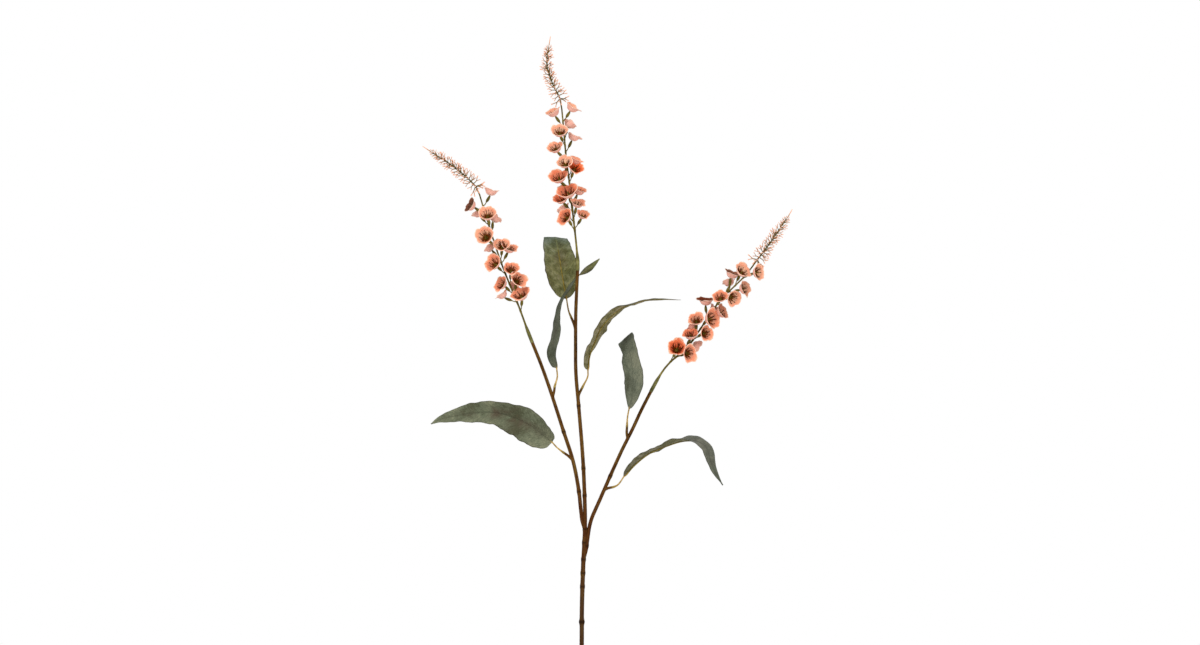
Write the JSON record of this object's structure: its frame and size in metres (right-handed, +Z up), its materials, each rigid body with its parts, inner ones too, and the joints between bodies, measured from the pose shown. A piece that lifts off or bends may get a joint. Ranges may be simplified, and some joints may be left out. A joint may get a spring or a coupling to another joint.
{
  "type": "artificial veronica spray in vase",
  "caption": "Artificial flower spray with spikes of small bell-shaped blooms, bristle tips and long leaves on a branching stem, standing in a plain bottle vase.",
  "frame": {"origin": "centre of the vase's foot, on the surface that it stands on", "axes": "+Z up, -Y the side that the picture shows, +X to the picture's right"},
  "size_m": [0.4599, 0.1495, 1.0191],
  "materials": {
    "glaze": "soft satin glaze",
    "stem_plastic": "brown moulded plastic over wire, brushed with olive and red",
    "petal_cloth": "printed coral petal cloth on olive plastic calyces and stalk",
    "tip_plastic": "soft moulded plastic, olive at the axis and peach at the ends",
    "leaf_cloth": "matt printed leaf cloth with pressed veins"
  },
  "bodies": {
    "root": {"vase": "glaze", "stem": "stem_plastic", "centre_spike": "petal_cloth", "left_spike": "petal_cloth", "right_spike": "petal_cloth", "centre_tip": "tip_plastic", "left_tip": "tip_plastic", "right_tip": "tip_plastic", "left_long_leaf": "leaf_cloth", "left_narrow_leaf": "leaf_cloth", "centre_broad_leaf": "leaf_cloth", "centre_arching_leaf": "leaf_cloth", "right_broad_leaf": "leaf_cloth", "right_arching_leaf": "leaf_cloth"}
  },
  "joints": []
}
